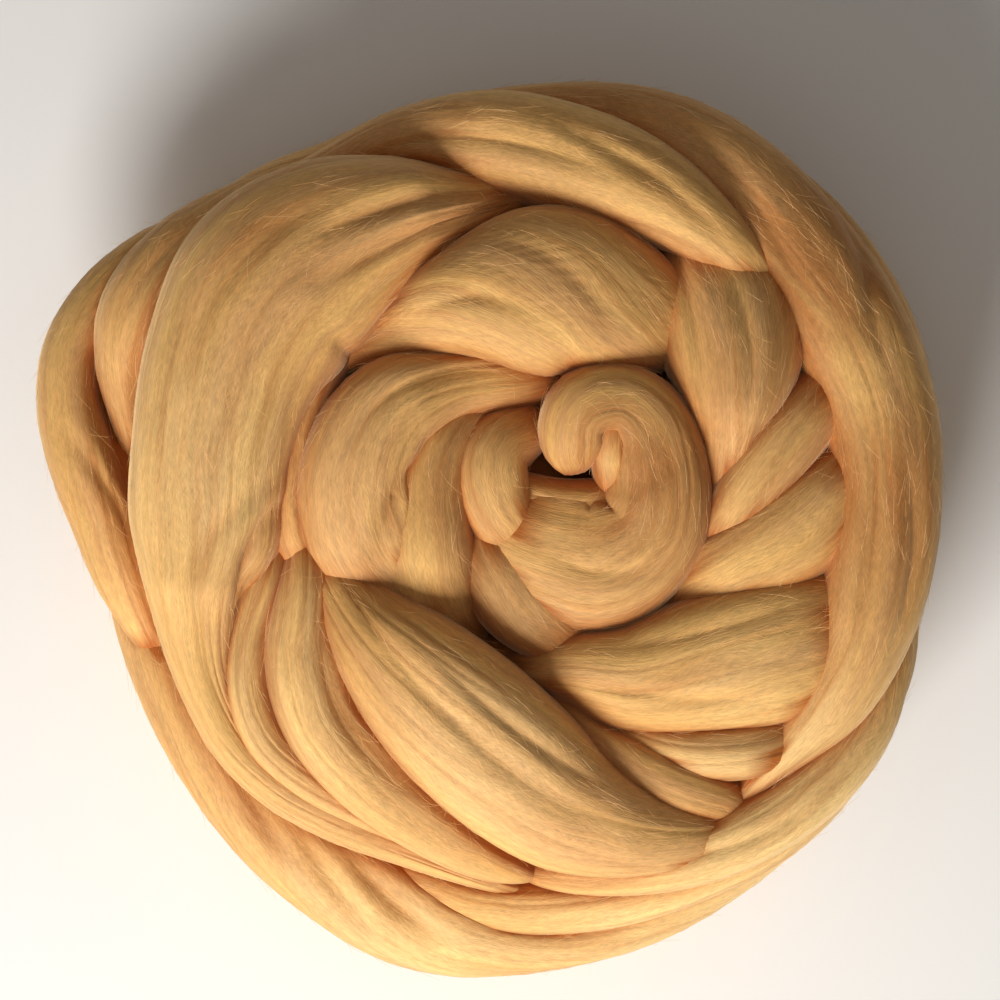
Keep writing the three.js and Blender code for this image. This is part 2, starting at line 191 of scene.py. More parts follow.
LOWER_FOLDS = {
    "lower_spindle": Fold(18, 40, [
        (-50, 4, 54, 4), (-45, -11, 72, 7), (-37, -24, 79, 12), (-26, -37, 82, 17.5), (-12, -51, 83, 21),
        (5, -66, 82, 21.5), (21, -78, 79, 19), (38, -84, 76, 14.5), (54, -86, 71, 10), (70, -84, 60, 6)]),
    "left_pleat_outer": Fold(15, 0, [
        (-60, 6, 62, 4), (-64, -12, 74, 6.5), (-69, -30, 76, 6.5), (-69, -46, 75.5, 7), (-63, -60, 74, 7.5),
        (-50, -71, 72, 8), (-33, -80, 70, 7.5), (-15, -90, 66, 5.5), (2, -98, 56, 3.5)]),
    "left_pleat_inner": Fold(16, 0, [
        (-52, 4, 62, 4.5), (-52, -14, 75, 9), (-53, -34, 77, 12), (-48, -53, 77, 12.5), (-36, -68, 76, 12),
        (-20, -81, 74, 10.5), (-3, -92, 69, 8), (14, -99, 56, 4)]),
}
LEFT_SWEEP = {
    "left_sweep": Fold(20, 30, [
        (20, 98, 52, 4), (8, 94.5, 63, 6), (-8, 91, 69, 11), (-28, 87, 73, 20), (-46, 80, 75.5, 27),
        (-62, 68, 77, 29.5), (-73, 48, 77.5, 26.5), (-79, 24, 78, 24), (-81, 0, 76.5, 22.5),
        (-83, -24, 74, 13.5), (-80, -43, 72, 9.5), (-72, -60, 70, 8.5), (-60, -72, 69, 8.5),
        (-44, -81, 68, 8.5), (-25, -89, 66, 7.5), (-5, -97, 62, 6), (12, -103, 52, 3.5)]),
}
OUTER_TURN = {
    "top_band": Fold(16, 40, [
        (-80, 76, 36, 8), (-62, 92, 42, 8.5), (-46, 101, 50, 9), (-25, 110, 60, 10.5), (0, 111, 68, 14.5),
        (22, 105, 74, 16), (42, 97, 78, 14.5), (58, 87, 80, 11), (70, 77, 79, 7.5), (79, 66, 73, 5),
        (87, 52, 60, 3.5)]),
    "right_sweep": Fold(18, 40, [
        (-84, 80, 28, 10), (-64, 94, 32, 10), (-42, 103, 38, 10), (-20, 112, 46, 10.5), (8, 116, 53, 11.5),
        (38, 113, 61, 14), (63, 102, 67, 16), (86, 81, 71, 16.5), (102, 57, 74, 17), (110, 34, 75, 17),
        (112, 10, 75, 16.5), (109, -14, 74, 16), (103, -35, 73, 13.5), (96, -49, 72, 11), (87, -60, 71, 8),
        (77, -70, 69, 5.5), (67, -79, 64, 4), (57, -87, 54, 3)]),
    "right_shoulder": Fold(16, 20, [
        (30, 108, 36, 12), (62, 102, 42, 14), (88, 84, 46, 15), (106, 58, 48, 15), (113, 28, 48, 15),
        (112, -2, 46, 15), (104, -32, 42, 13)]),
    "bottom_right_band": Fold(13, 20, [
        (6, -96, 54, 4), (24, -98, 64, 6), (44, -96, 69, 8), (62, -91, 70, 9.5), (80, -82, 69, 10),
        (95, -70, 67, 10), (106, -55, 63, 9.5), (112, -36, 57, 9), (113, -14, 46, 8)]),
}
RIM = {
    "left_lump_upper": Fold(17, 40, [
        (-50, 97, 32, 8), (-72, 88, 42, 11), (-90, 75, 50, 13), (-100, 60, 53, 13.5), (-104, 45, 52, 9.5),
        (-103, 31, 50, 6), (-99, 17, 42, 4)]),
    "left_lump_lower": Fold(16, -60, [
        (-84, 84, 30, 6), (-98, 77, 38, 8), (-111, 65, 43, 9.5), (-118.5, 50, 46, 11), (-119, 35, 48, 12),
        (-115, 18, 50, 12.5), (-110, 3, 50, 11.5), (-105, -12, 50, 10), (-99, -25, 47, 8),
        (-91, -38, 40, 6)]),
    "bottom_band": Fold(18, -240, [
        (-104, -4, 32, 8), (-98, -30, 40, 9.5), (-86, -55, 44, 11.5), (-69, -77, 46, 14),
        (-48, -95, 46, 16.5), (-22, -110, 45, 17), (6, -115, 44, 13), (34, -111, 44, 11),
        (60, -100, 44, 10), (82, -84, 42, 9.5), (100, -62, 38, 8)]),
    "bottom_band_inner": Fold(14, 20, [
        (-40, -88, 44, 7), (-22, -99, 50, 9), (-2, -106, 52, 9.5), (26, -106, 53, 9.5), (54, -99, 54, 9.5),
        (80, -86, 54, 9.5), (99, -66, 52, 9.5), (111, -40, 48, 9.5), (113, -14, 40, 9)]),
}
folds_above = (CENTRE_FOLDS, SECOND_TURN, LOWER_FOLDS, LEFT_SWEEP, OUTER_TURN, RIM)
print("folds that show from above:", sum(len(folds) for folds in folds_above))

# %% [markdown]
# ## The tiers below
#
# From the side the bun shows the turns it was started with. They are long arcs of the same rope that
# overlap and end under each other, so a formula places their sections: an arc starts at an angle,
# sweeps round, climbs a little, and is narrower and nearer the middle at both ends. Rings of rope
# fill the inside, where they close the deepest creases, and the underside, which lies on the floor.

# %% The tiers below
TIER_MIDDLE = (4, 4)
TIER_REACH = 97
TIER_SECTIONS = 9
TIER_END_HALF = 0.55
TIER_END_TUCK = 10
RING_SECTIONS = 12
RING_PRESSED = 2

Arc = namedtuple("Arc", "start sweep low high half depth turn")
TIER_ARCS = {
    "floor_front": Arc(215, 150, 20, 22, 22, 21, 110),
    "floor_right": Arc(335, 160, 20, 23, 22, 21, 90),
    "floor_back": Arc(100, 145, 20, 22, 22, 21, 100),
    "middle_right": Arc(290, 150, 36, 46, 18, 17, 80),
    "middle_back": Arc(60, 130, 34, 44, 19, 18, 90),
    "middle_left": Arc(165, 150, 36, 42, 18, 17, 80),
}


def arc_fold(arc):
    """The sections of a fold that lies along an arc round the middle of the tiers."""
    sections = []
    for part in np.linspace(0, 1, TIER_SECTIONS):
        angle = math.radians(arc.start + arc.sweep * part)
        fullness = math.sqrt(math.sin(math.pi * part))
        reach = TIER_REACH - TIER_END_TUCK * (1 - fullness)
        sections.append((
            TIER_MIDDLE[0] + reach * math.cos(angle),
            TIER_MIDDLE[1] + reach * math.sin(angle),
            arc.low + (arc.high - arc.low) * part,
            arc.half * (TIER_END_HALF + (1 - TIER_END_HALF) * fullness)))
    return Fold(arc.depth, arc.turn, sections)


def ring_fold(reach, drawn_in, height, half, start, sweep, turn):
    """A fold inside or under the bun that winds round its middle and is drawn in towards it."""
    sections = []
    for part in np.linspace(0, 1, RING_SECTIONS):
        angle = math.radians(start + sweep * part)
        radius = reach - drawn_in * part
        sections.append((radius * math.cos(angle), radius * math.sin(angle), height, half))
    return Fold(half - RING_PRESSED, turn, sections)


LOWER_TIERS = {name: arc_fold(arc) for name, arc in TIER_ARCS.items()}
# The rings' reach, how far they are drawn in, their height, half width, start, sweep and turn.
HIDDEN_TURNS = {
    "inner_turn_rim": ring_fold(87, 0, 57, 14, 40, 375, 60),
    "inner_turn_wide": ring_fold(76, 4, 52, 17, 30, 352, 90),
    "inner_turn_middle": ring_fold(47, 4, 55, 17, 150, 352, 90),
    "inner_turn_small": ring_fold(20, 6, 56, 15, 270, 352, 60),
    "underside_outer": ring_fold(64, 14, 18, 20, 200, -350, 90),
    "underside_inner": ring_fold(36, 10, 18, 18, 100, -350, 90),
    "underside_middle": Fold(18, 0, [(-16, 4, 16, 12), (0, 2, 20, 16), (16, -4, 16, 12)]),
}
print("tiers:", list(LOWER_TIERS), "inside and underneath:", list(HIDDEN_TURNS))

# %% [markdown]
# ## A smooth path
#
# The rows of a fold are joined by a curve that passes through each of them and hardly swings out
# between them: at each row its slope is a weighted mean of the slopes on both sides. The same curve
# carries the half width, so the rope swells and narrows as smoothly as it bends.

# %% A smooth path
PATH_STEPS = 400


def smooth_path(sections):
    """Even steps along a smooth curve through the sections, and the distance gone at each, in mm."""
    rows = np.array(sections, float)
    steps = np.linalg.norm(np.diff(rows[:, :3], axis=0), axis=1)
    knots = np.concatenate([[0], np.cumsum(np.sqrt(steps))])
    gaps = np.diff(knots)
    rises = np.diff(rows, axis=0) / gaps[:, None]
    slopes = np.empty_like(rows)
    slopes[0], slopes[-1] = rises[0], rises[-1]
    weights = (gaps[:-1] / (gaps[:-1] + gaps[1:]))[:, None]
    slopes[1:-1] = rises[:-1] * (1 - weights) + rises[1:] * weights

    at = np.linspace(0, knots[-1], PATH_STEPS)
    piece = np.clip(np.searchsorted(knots, at, side="right") - 1, 0, len(gaps) - 1)
    t = ((at - knots[piece]) / gaps[piece])[:, None]
    gap = gaps[piece][:, None]
    path = ((2 * t**3 - 3 * t**2 + 1) * rows[piece] + (t**3 - 2 * t**2 + t) * gap * slopes[piece]
            + (3 * t**2 - 2 * t**3) * rows[piece + 1] + (t**3 - t**2) * gap * slopes[piece + 1])
    gone = np.concatenate([[0], np.cumsum(np.linalg.norm(np.diff(path[:, :3], axis=0), axis=1))])
    return path, gone


print("the left sweep is", round(smooth_path(LEFT_SWEEP["left_sweep"].sections)[1][-1]), "mm long")

# %% [markdown]
# ## Tight bends
#
# Where a rope bends sharply, the wool on the inside is crushed against the middle of the bend and
# leaves a crease there. A plain sweep would push it out on the other side. So the reach of a ring is
# eased off as it comes near the middle of the bend. How sharply the rope bends is averaged over a few
# rings first, so that neighbouring rings agree.

# %% Tight bends
BEND_WINDOW = 7
BEND_MARGIN = 1.08
BEND_EASE = 4


def unit(vectors):
    """The same directions with a length of one."""
    return vectors / np.linalg.norm(vectors, axis=-1, keepdims=True)


def bend_towards(forward, side, along):
    """How sharply the rope bends towards its side, as one over the radius in mm."""
    bend = (np.gradient(forward, along, axis=0) * side).sum(axis=1)
    window = np.hanning(BEND_WINDOW)
    padded = np.pad(bend, BEND_WINDOW // 2, mode="edge")
    return np.convolve(padded, window / window.sum(), mode="valid")


def crushed(reach, bend):
    """Keeps the wool on the inside of a bend from passing the bend's middle."""
    share = np.clip(reach * bend[:, None] * BEND_MARGIN, 0, None)
    return reach / (1 + share**BEND_EASE) ** (1 / BEND_EASE)


test_reach = crushed(np.array([[20.0]]), np.array([1 / 15])).item()
print("wool 20 mm wide in a bend of 15 mm reaches", round(test_reach, 1), "mm")

# %% [markdown]
# ## The skin of a fold
#
# A fold's skin is a grid of points: rings across the rope, and columns along it. Each ring is a
# slightly squared oval that faces out of the bun, because wool that lies on wool is pressed flat
# from below and swells to the sides. The bun is flat, so out of it is mostly up: `LEAN` says how much
# each direction counts. The ends round off, and the rings are closer together there. The columns are
# closer together on the side that shows, where the furrows need them, than on the side inside the
# bun.

# %% The skin of a fold
BUN_MIDDLE = np.array([0, 0, 30.0])
LEAN = np.array([0.45, 0.45, 4.9])
SECTION_SQUARENESS = 2.3
DEPTH_OVER_HALF = 3
FEWEST_RINGS = 12
END_LENGTH = 14
END_SHARE = 0.25
END_CROWDING = 0.25
COLUMN_CROWDING = 0.45

Skin = namedtuple("Skin", "points along around closing")


def sweep_skin(fold, ring_gap, column_gap):
    """The smooth skin of a fold: its points, and where each lies along and round the rope."""
    path, gone = smooth_path(fold.sections)
    length = gone[-1]
    rings = max(FEWEST_RINGS, int(length / ring_gap))
    even = np.linspace(0, 1, rings)
    crowded = (1 - np.cos(math.pi * even)) / 2
    along = (even + (crowded - even) * END_CROWDING) * length
    station = np.stack([np.interp(along, gone, column) for column in path.T], axis=1)
    place, half = station[:, :3], station[:, 3]

    forward = unit(np.gradient(place, along, axis=0))
    out = unit((place - BUN_MIDDLE) * LEAN)
    out = unit(out - (out * forward).sum(axis=1, keepdims=True) * forward)
    side = np.cross(forward, out)

    to_end = np.minimum(along, length - along) / min(END_LENGTH, length * END_SHARE)
    closing = np.sqrt(1 - (1 - np.clip(to_end, 0, 1)) ** 2)
    columns = int(2 * math.pi * max(half.max(), fold.depth) / column_gap)
    around = np.linspace(0, 1, columns + 1)
    angle = 2 * math.pi * (around - 0.25) + COLUMN_CROWDING * np.sin(2 * math.pi * around)
    across = np.sign(np.cos(angle)) * np.abs(np.cos(angle)) ** (2 / SECTION_SQUARENESS)
    up = np.sign(np.sin(angle)) * np.abs(np.sin(angle)) ** (2 / SECTION_SQUARENESS)
    thick = np.minimum(fold.depth, half + DEPTH_OVER_HALF)
    reach = crushed((half * closing)[:, None] * across[None, :], bend_towards(forward, side, along))
    points = (place[:, None]
              + reach[..., None] * side[:, None]
              + (thick * closing)[:, None, None] * up[None, :, None] * out[:, None])
    twist = math.radians(fold.turn) / (2 * math.pi) * (along / length)
    turns = angle[None, :] / (2 * math.pi) - twist[:, None]
    return Skin(points, np.broadcast_to(along[:, None], turns.shape), turns,
                np.broadcast_to(closing[:, None], turns.shape))


test_skin = sweep_skin(LEFT_SWEEP["left_sweep"], ring_gap=2.6, column_gap=1.0)
print("the left sweep has", test_skin.points.shape[0], "rings and", test_skin.points.shape[1], "columns")

# %% [markdown]
# ## The way out of the wool
#
# Furrows and creases are pressed in along the normals. The normal at a point is square to the lines
# that join its neighbours, both round the rope and along it. A ring is closed, so its last point is
# its first one again, and the neighbours of both are the second point and the last but one.

# %% The way out of the wool
NEVER_ZERO = 1e-9


def outward_normals(points):
    """The direction that faces out of the rope at each point of a skin."""
    wrapped = np.concatenate([points[:, -2:-1], points, points[:, 1:2]], axis=1)
    across = wrapped[:, 2:] - wrapped[:, :-2]
    onward = np.gradient(points, axis=0)
    normals = np.cross(across, onward)
    size = np.linalg.norm(normals, axis=2, keepdims=True)
    normals = normals / np.maximum(size, NEVER_ZERO)
    middle = points.mean(axis=1, keepdims=True)
    inside_out = ((points - middle) * normals).sum() < 0
    return -normals if inside_out else normals


test_normals = outward_normals(test_skin.points)
print("the left sweep faces up by as much as", round(test_normals[..., 2].max(), 2))

# %% [markdown]
# ## Furrows
#
# Combing leaves the fibres in bundles. From near by, a fold has broad soft waves, narrower furrows
# between its bundles and a fine grain, and all of them run with the fibres and die out after a few
# centimetres. Each is a grid of random heights, long along the rope and narrow across it, read with
# soft steps between its cells. It closes on itself round the rope, so it has no seam.

# %% Furrows
Wave = namedtuple("Wave", "width length height")
BROAD_WAVE = Wave(15, 60, 0.8)
BUNDLE = Wave(6, 45, 0.28)
GRAIN = Wave(1.9, 28, 0.03)
BUNDLE_SHARPNESS = 2.4
BUNDLE_ROUNDNESS = 1.5


def soft_noise(random, along, around, girth, wave):
    """Random heights from -1 to 1, in cells as wide and long as the wave says."""
    cells_round = max(3, round(girth / wave.width))
    cells_along = int(along.max() / wave.length) + 3
    heights = random.uniform(-1, 1, (cells_along, cells_round))
    y = along / wave.length + 0.5
    x = around * cells_round
    row = np.floor(y).astype(int)
    column = np.floor(x).astype(int)
    down, over = y - row, x - column
    down, over = down**2 * (3 - 2 * down), over**2 * (3 - 2 * over)

    def corner(rows, columns):
        return heights[rows % cells_along, columns % cells_round]

    near = corner(row, column) * (1 - over) + corner(row, column + 1) * over
    far = corner(row + 1, column) * (1 - over) + corner(row + 1, column + 1) * over
    return near * (1 - down) + far * down


def furrow_heights(random, skin, girth):
    """How far the combed wool stands out from or dips under the smooth skin, in mm, and the dips."""
    broad = soft_noise(random, skin.along, skin.around, girth, BROAD_WAVE)
    bundle = soft_noise(random, skin.along, skin.around, girth, BUNDLE)
    grain = soft_noise(random, skin.along, skin.around, girth, GRAIN)
    dips = np.clip(1 - np.abs(bundle) * BUNDLE_SHARPNESS, 0, 1) ** BUNDLE_ROUNDNESS
    heights = BROAD_WAVE.height * broad - BUNDLE.height * dips + GRAIN.height * grain
    return heights * skin.closing, dips * skin.closing


print("a furrow dips", BUNDLE.height, "mm between bundles about", BUNDLE.width, "mm wide")

# %% [markdown]
# ## Creases
#
# Where a fold is pinched under its neighbour, a few long grooves run out of the pinch and fade away.
# They are lines on the plan of the bun, each on the fold that it belongs to. `width`
# is how far a crease reaches to each side of its line. All lengths are in millimetres.

# %% Creases
Crease = namedtuple("Crease", "depth width line")
CREASES = {
    "left_sweep": [
        Crease(2.8, 6.0, [(10, 96), (-5, 96), (-20, 94), (-36, 89), (-52, 83)]),
        Crease(2.6, 6.0, [(8, 93), (-5, 90), (-15, 86), (-27, 81), (-40, 74), (-52, 67)]),
        Crease(1.6, 5.0, [(-5, 87), (-18, 79), (-30, 71), (-42, 60)]),
        Crease(1.4, 8.0, [(-40, 96), (-62, 84), (-80, 64), (-90, 38)]),
        Crease(1.4, 8.0, [(-56, 66), (-70, 46), (-78, 20), (-86, -2)]),
        Crease(2.2, 6.0, [(-60, 16), (-70, 8), (-78, 0), (-83, -10), (-87, -24)]),
        Crease(4.0, 5.0, [(-57, 9), (-63, 2), (-68, -6), (-70, -16), (-72, -28)]),
    ],
    "left_pleat_outer": [
        Crease(1.6, 4.0, [(-60, -4), (-66, -16), (-71, -30), (-72, -44)]),
    ],
    "left_pleat_inner": [
        Crease(1.8, 6.0, [(-49, -8), (-47, -24), (-47, -38), (-42, -54), (-33, -66), (-20, -78)]),
        Crease(1.0, 4.0, [(-57, -2), (-58, -16), (-59, -30), (-57, -46)]),
    ],
    "inner_knob_and_ring": [
        Crease(1.4, 5.0, [(58, -6), (44, -12), (30, -12), (16, -8)]),
        Crease(1.6, 5.0, [(33, 12), (42, 13), (50, 18), (55, 27)]),
    ],
    "second_turn_left_lobe": [
        Crease(3.2, 6.0, [(-4, 31), (-14, 24), (-22, 16), (-28, 7), (-31, -3), (-33, -15)]),
        Crease(1.6, 4.5, [(-16, 18), (-19, 4), (-20, -10), (-20, -24)]),
        Crease(1.4, 6.0, [(6, 45), (-14, 44), (-32, 36), (-44, 20)]),
    ],
    "second_turn_top_lobe": [
        Crease(1.4, 5.0, [(-22, 62), (-4, 66), (10, 62), (22, 53)]),
        Crease(1.4, 5.0, [(0, 82), (14, 78), (28, 66), (38, 52)]),
    ],
    "second_turn_right_lobe": [
        Crease(1.6, 5.0, [(50, 84), (55, 68), (58, 52), (60, 36)]),
        Crease(1.4, 6.0, [(66, 74), (72, 60), (74, 46), (72, 34)]),
    ],
    "lower_spindle": [
        Crease(1.6, 6.0, [(-38, -22), (-24, -40), (-6, -58), (14, -74), (32, -84)]),
        Crease(1.6, 5.0, [(-14, -38), (2, -52), (18, -64), (34, -74)]),
    ],
    "lower_right_lobe": [
        Crease(1.8, 5.0, [(24, -43), (44, -47), (66, -49), (84, -47)]),
        Crease(1.2, 5.0, [(36, -33), (54, -30), (74, -25), (90, -20)]),
    ],
    "top_band": [
        Crease(1.4, 5.0, [(14, 118), (32, 108), (50, 97), (66, 82)]),
        Crease(1.6, 6.0, [(-34, 108), (-12, 112), (14, 108), (34, 100)]),
    ],
    "right_sweep": [
        Crease(1.8, 6.0, [(52, 118), (64, 106), (76, 90), (84, 76), (90, 62)]),
        Crease(2.4, 7.0, [(100, 90), (106, 78), (108, 64), (110, 50)]),
        Crease(1.6, 7.0, [(104, 40), (108, 20), (108, -6), (102, -28), (92, -46)]),
        Crease(1.8, 6.0, [(118, 20), (120, -2), (118, -20), (112, -38)]),
    ],
    "bottom_band": [
        Crease(3.0, 7.0, [(-40, -92), (-34, -102), (-24, -112), (-12, -121)]),
        Crease(2.4, 6.0, [(-56, -84), (-50, -96), (-42, -108), (-34, -118)]),
        Crease(2.0, 6.0, [(-70, -72), (-66, -84), (-60, -96)]),
        Crease(1.8, 5.0, [(-14, -104), (4, -113), (26, -117), (46, -113)]),
    ],
    "bottom_right_band": [
        Crease(1.6, 4.0, [(28, -96), (44, -95), (60, -92), (76, -87), (90, -78)]),
    ],
    "left_lump_lower": [
        Crease(3.5, 9.0, [(-114, 56), (-112, 42), (-108, 30), (-105, 18), (-103, 6)]),
        Crease(1.8, 6.0, [(-126, 30), (-116, 20), (-109, 10), (-104, -2)]),
    ],
    "left_lump_upper": [
        Crease(1.6, 6.0, [(-84, 88), (-98, 76), (-106, 62), (-107, 48)]),
    ],
}
print("creases:", sum(len(lines) for lines in CREASES.values()))

# %% [markdown]
# ## Pressing the creases in
#
# Only the upper side of a fold is pressed, where its normals point up. A crease is deepest along its
# line and tapers to nothing at its sides and at both ends. Where two creases meet, the deeper one
# counts. How deep each point was pressed is kept, because the colour paints shade into the crease there.

# %% Pressing the creases in
CREASE_STEP = 8
CREASE_TAPER = 0.7
CREASE_SHARPNESS = 1.8
UPPER_SIDE_FROM = 0.05
UPPER_SIDE_RANGE = 0.35


def press_creases(points, normals, creases):
    """Presses the lines into the upper side of a skin. Gives the new points and how deep each is."""
    pressed = np.zeros(points.shape[:2])
    facing_up = np.clip((normals[..., 2] - UPPER_SIDE_FROM) / UPPER_SIDE_RANGE, 0, 1)
    for crease in creases:
        line, gone = smooth_path([(x, y, 0, 0) for x, y in crease.line])
        line, gone = line[::CREASE_STEP, :2], gone[::CREASE_STEP]
        steps = np.linalg.norm(points[..., None, :2] - line, axis=-1)
        nearest = steps.argmin(axis=-1)
        away = steps.min(axis=-1)
        taper = np.sin(math.pi * np.clip(gone[nearest] / gone[-1], 0, 1)) ** CREASE_TAPER
        groove = np.clip(1 - away / crease.width, 0, 1) ** CREASE_SHARPNESS
        pressed = np.maximum(pressed, crease.depth * taper * groove * facing_up)
    return points - normals * pressed[..., None], pressed


test_pressed = press_creases(test_skin.points, test_normals, CREASES["left_sweep"])[1]
print("the deepest crease of the left sweep is", round(test_pressed.max(), 1), "mm deep")

# %% [markdown]
# ## Browner and paler stretches
#
# Some stretches are browner than the rest and some are paler, partly because the rope took its dye
# unevenly and partly as painted light. The browner patches lie mostly on sides turned away from the
# low lamp and paint shade there, and the paler ones lie on the lit near rim and paint light there.
# Noise alone would put them anywhere. The largest ones are given one by one instead, as soft round
# patches on one fold each. An amount above 0 makes the wool browner, and one below 0 makes it paler.

# %% Browner and paler stretches
PATCH_SOFTNESS = 1.5

Patch = namedtuple("Patch", "x y reach amount")
# Browner patches paint shade on sides turned away from the lamp, and paler ones paint light on the lit near
# rim. Both also stand for uneven dye.
DYE_AND_PAINTED_LIGHT_PATCHES = {
    "inner_knob_and_ring": [Patch(47, 14, 32, 1.0), Patch(26, 30, 18, 0.6)],
    "right_sweep": [Patch(113, 6, 44, 0.9), Patch(92, 80, 44, 1.0), Patch(30, 118, 50, 0.8),
                    Patch(82, -66, 34, -0.8)],
    "right_shoulder": [Patch(84, 96, 46, 1.0), Patch(124, 20, 34, -0.3)],
    "top_band": [Patch(-30, 112, 34, 0.5)],
    "second_turn_lower_lobe": [Patch(-14, 10, 26, 0.6)],
    "second_turn_right_lobe": [Patch(66, 40, 24, 0.4)],
    "lower_right_lobe": [Patch(74, -46, 26, -0.4)],
    "pleat_below_lobe": [Patch(70, -62, 30, -0.7)],
    "lower_spindle": [Patch(-38, -26, 22, 0.5), Patch(0, -60, 34, -0.5)],
    "left_sweep": [Patch(-84, 14, 44, -0.6), Patch(-60, 84, 30, 0.3)],
    "left_pleat_outer": [Patch(-66, -40, 40, -0.4)],
    "left_pleat_inner": [Patch(-50, -42, 40, -0.5)],
    "bottom_right_band": [Patch(84, -82, 60, -1.2)],
    "bottom_band_inner": [Patch(64, -96, 74, -1.2)],
    "bottom_band": [Patch(60, -102, 64, -1.2), Patch(-22, -114, 50, -0.6)],
    "left_lump_lower": [Patch(-116, 20, 40, 0.4)],
}


def dye_and_painted_light_at(points, patches):
    """From -1, palest, to 1, brownest, at each point of a skin: uneven dye with painted light and shade."""
    dye = np.zeros(points.shape[:2])
    for patch in patches:
        away = np.hypot(points[..., 0] - patch.x, points[..., 1] - patch.y) / patch.reach
        dye += patch.amount * np.clip(1 - away**2, 0, 1) ** PATCH_SOFTNESS
    return np.clip(dye, -1, 1)


print("browner and paler patches:", sum(len(patches) for patches in DYE_AND_PAINTED_LIGHT_PATCHES.values()))

# %% [markdown]
# ## All the skins
#
# Every fold now gets its skin, its furrows and its creases. The folds that show from above have
# rings and columns close together, the tiers and the turns inside have them further apart: `FINE` and
# `COARSE` are the distances in millimetres. What would reach below the floor is pressed flat against
# it, in a soft curve. How much the wool dips in furrows and creases is kept for the colour, which
# paints shade there. Along the rope each fold starts half a metre after the last one, so that no two
# have the same streaks.

# %% All the skins
FINE = (2.6, 1.0)
COARSE = (3.6, 1.7)
FLAT_FROM = 4.0
FIRST_SEED = 100
FURROW_DIP = 0.5
DEEP_CREASE = 5
FOLD_SPACING = 500.0
PIECES = {
    "roving_centre": (CENTRE_FOLDS, FINE),
    "roving_second_turn": (SECOND_TURN, FINE),
    "roving_lower_folds": (LOWER_FOLDS, FINE),
    "roving_left_sweep": (LEFT_SWEEP, FINE),
    "roving_outer_turn": (OUTER_TURN, FINE),
    "roving_rim": (RIM, FINE),
    "roving_lower_tiers": (LOWER_TIERS, COARSE),
    "roving_inside": (HIDDEN_TURNS, COARSE),
}

Wool = namedtuple("Wool", "points normals along around dips dye length_offset")


def rest_on_floor(points):
    """Bends what lies lowest into a nearly flat spot just above the floor."""
    height = points[..., 2]
    flat = FLAT_FROM * np.exp(np.minimum(height - FLAT_FROM, 0) / FLAT_FROM)
    points[..., 2] = np.where(height < FLAT_FROM, flat, height)
    return points


def combed_fold(number, name, fold, gaps):
    """A fold with its furrows and creases, and the dye, painted light and painted shade that its colour
    reads. Its number picks its own random heights.
    """
    random = np.random.RandomState(FIRST_SEED + number)
    skin = sweep_skin(fold, *gaps)
    girth = 2 * math.pi * max(fold.depth, max(row[3] for row in fold.sections))
    heights, dips = furrow_heights(random, skin, girth)
    combed = skin.points + outward_normals(skin.points) * heights[..., None]
    creased, pressed = press_creases(combed, outward_normals(combed), CREASES.get(name, []))
    points = rest_on_floor(creased)
    # Painted shade: the colour darkens the wool where it dips into furrows and creases.
    dips = np.clip(FURROW_DIP * dips + pressed / DEEP_CREASE, 0, 1)
    # Browner and paler patches: partly uneven dye, partly painted shade away from the lamp and painted
    # light near it.
    dye = dye_and_painted_light_at(points, DYE_AND_PAINTED_LIGHT_PATCHES.get(name, []))
    return Wool(points, outward_normals(points), skin.along, skin.around * girth, dips, dye,
                FOLD_SPACING * number)


all_folds = [(name, fold, gaps) for folds, gaps in PIECES.values() for name, fold in folds.items()]
wool = {name: combed_fold(number, name, fold, gaps) for number, (name, fold, gaps) in enumerate(all_folds)}
print("skins:", len(wool), "with", sum(w.points[..., 0].size for w in wool.values()), "points")

# %% [markdown]
# ## Feelers
#
# Deep between two folds wool looks red-brown, because light that has passed from fibre to fibre has
# lost its blue and green. The lamps alone don't bring that out, so the script feels how closed in
# each place is. Its feelers are straight lines, spread evenly over a ball along a spiral that turns
# by the golden ratio. What they may meet is all the wool in one mesh, with only every third ring and
# column, in a tree that quickly finds where a line meets it.

# %% Feelers
FEELERS = 64
FEELER_STEP = 3


def grid_mesh(name, points):
    """A grid as large as the skin, bent to the skin's points in metres. Its rows are the rings."""
    rings, columns = points.shape[:2]
    bm = bmesh.new()
    bmesh.ops.create_grid(bm, x_segments=columns - 1, y_segments=rings - 1, size=1)
    mesh = bpy.data.meshes.new(name)
    bm.to_mesh(mesh)
    bm.free()
    mesh.vertices.foreach_set("co", (points * MM).ravel())
    return mesh


def thinned(count):
    """Every third number up to a count, the last one included."""
    return np.unique(np.append(np.arange(0, count, FEELER_STEP), count - 1))


index = np.arange(FEELERS) + 0.5
tilt = np.arccos(1 - 2 * index / FEELERS)
swing = math.pi * (1 + 5**0.5) * index
directions = np.stack([np.cos(swing) * np.sin(tilt), np.sin(swing) * np.sin(tilt), np.cos(tilt)], axis=1)

all_wool = bmesh.new()
for piece in wool.values():
    rings, columns = thinned(piece.points.shape[0]), thinned(piece.points.shape[1])
    tube = grid_mesh("feeler_tube", piece.points[np.ix_(rings, columns)])
    all_wool.from_mesh(tube)
    bpy.data.meshes.remove(tube)
wool_tree = BVHTree.FromBMesh(all_wool)
print("the feelers may meet", len(all_wool.faces), "faces")
all_wool.free()

# %% [markdown]
# ## How open the wool lies
#
# Every third ring and column of a skin sends the feelers out on its outer side. Where they meet more
# wool within 24 mm, the place is closed in, and those that leave most squarely count most. The points
# between are filled in. The result is stored on the mesh as the attribute `shade`, and the colour
# reads it to paint shade into closed-in wool.

# %% How open the wool lies
FEELER_REACH = 0.024
FEELER_START = 0.0006
FEELER_LEAST_WEIGHT = 0.1
NUDGE = 1e-6


